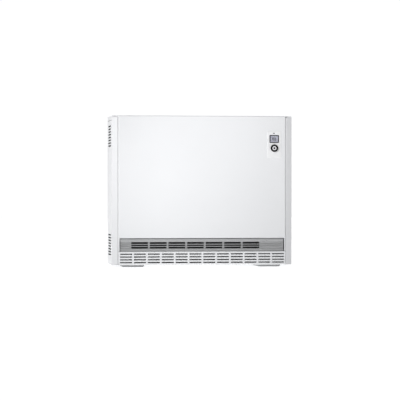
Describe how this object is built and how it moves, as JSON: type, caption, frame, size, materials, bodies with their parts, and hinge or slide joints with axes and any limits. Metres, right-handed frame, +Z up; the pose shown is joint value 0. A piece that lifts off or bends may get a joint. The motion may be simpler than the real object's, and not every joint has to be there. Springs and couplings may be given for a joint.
{
  "type": "slimline fan heater",
  "caption": "Slimline floor-standing fan-assisted electric heater with a heat-storing core, warm-air grille over a slotted plinth, side vents and a knob with a display.",
  "frame": {"origin": "on the floor, under the middle of the heater's box (bottom centre)", "axes": "+X to the right-hand end seen from the front, +Y to the wall behind (the front faces -Y), +Z up"},
  "size_m": [0.78, 0.254, 0.65],
  "materials": {
    "white_enamel": "satin white stoved enamel on sheet steel",
    "grey_enamel": "light grey satin enamel on sheet steel",
    "foot_grey": "mid-grey enamel on pressed steel",
    "galvanised": "spangled zinc coating",
    "duct_black": "heat-proof matt black paint on sheet steel",
    "screw_zinc": "bright zinc plating",
    "filter_net": "moulded grey net and frame",
    "storage_brick": "pressed magnetite brick, dark and gritty",
    "insulation": "grey microporous board in glass-cloth facing",
    "element_steel": "heat-tinted steel sheath",
    "rotor_aluminium": "plain formed strip",
    "shaft_steel": "ground bar",
    "motor_body": "lamination stack under dark varnish",
    "bearing_bronze": "sintered bronze",
    "rubber_black": "moulded rubber",
    "bimetal": "rolled bimetal strip",
    "terminal_plastic": "cream moulding",
    "brass": "turned brass",
    "case_grey": "textured grey moulding",
    "reset_red": "red moulding",
    "wire_sleeve": "silicone sleeved cable",
    "bezel_white": "fine-textured white moulding",
    "display_clear": "clear hard-coated window",
    "display_panel": "reflective liquid-crystal panel in a dark frame",
    "board_green": "solder-masked board",
    "encoder_black": "black moulding",
    "knob_black": "black satin moulding",
    "button_white": "white moulding",
    "mark_dark": "dark inlay",
    "lens_dark": "dark translucent lens"
  },
  "bodies": {
    "casing": {"base_tray": "galvanised", "bimetal_coil": "bimetal", "bricks_row_1": "storage_brick", "bricks_row_2": "storage_brick", "bricks_row_3": "storage_brick", "bricks_row_4": "storage_brick", "cable_grommet": "rubber_black", "casing_screws": "screw_zinc", "charge_controller": "case_grey", "compartment_wall": "galvanised", "control_bezel": "bezel_white", "control_board": "board_green", "core_cover": "galvanised", "core_sensor": "brass", "core_support": "galvanised", "display_module": "display_panel", "display_window": "display_clear", "encoder": "encoder_black", "fan_bearings": "bearing_bronze", "fan_housing": "galvanised", "fan_motor": "motor_body", "front_panel": "white_enamel", "grille_screws": "screw_zinc", "heating_element_1": "element_steel", "heating_element_2": "element_steel", "heating_element_3": "element_steel", "insulation_bottom": "insulation", "insulation_front": "insulation", "insulation_left": "insulation", "insulation_rear": "insulation", "insulation_right": "insulation", "insulation_top": "insulation", "intake_duct": "galvanised", "intake_grille": "white_enamel", "left_foot": "foot_grey", "left_side_panel": "white_enamel", "lint_filter": "filter_net", "outlet_duct": "duct_black", "outlet_frame": "grey_enamel", "outlet_slats": "grey_enamel", "rear_panel": "galvanised", "right_foot": "foot_grey", "right_side_panel": "white_enamel", "rubber_mounts": "rubber_black", "safety_limiter": "terminal_plastic", "sensor_lens": "lens_dark", "terminal_block": "terminal_plastic", "terminal_screws": "brass", "top_cover": "white_enamel", "wall_bracket": "galvanised", "wiring_harness": "wire_sleeve"},
    "fan_rotor": {"left_rotor": "rotor_aluminium", "right_rotor": "rotor_aluminium", "fan_shaft": "shaft_steel"},
    "air_flap": {"mixing_flap": "duct_black", "flap_shaft": "shaft_steel"},
    "selector": {"selector_knob": "knob_black"},
    "push_button": {"ok_button": "button_white", "button_mark": "mark_dark"},
    "reset": {"reset_button": "reset_red"}
  },
  "joints": [
    {"name": "fan_spin", "type": "hinge", "parent": "casing", "child": "fan_rotor", "pos_m": [-0.044, 0.03, 0.052], "axis": [1, 0, 0], "continuous": true},
    {"name": "flap_swing", "type": "hinge", "parent": "casing", "child": "air_flap", "pos_m": [-0.028, -0.028, 0.116], "axis": [-1, 0, 0], "range_deg": [0, 55]},
    {"name": "selector_turn", "type": "hinge", "parent": "casing", "child": "selector", "pos_m": [0.3126, -0.118, 0.5115], "axis": [0, -1, 0], "continuous": true},
    {"name": "button_press", "type": "slide", "parent": "casing", "child": "push_button", "axis": [0, 1, 0], "range_m": [0, 0.0012], "stiffness_N_per_m": 1500, "springref_m": -0.0006},
    {"name": "reset_press", "type": "slide", "parent": "casing", "child": "reset", "axis": [-1, 0, 0], "range_m": [0, 0.002], "stiffness_N_per_m": 1200, "springref_m": -0.0006}
  ]
}
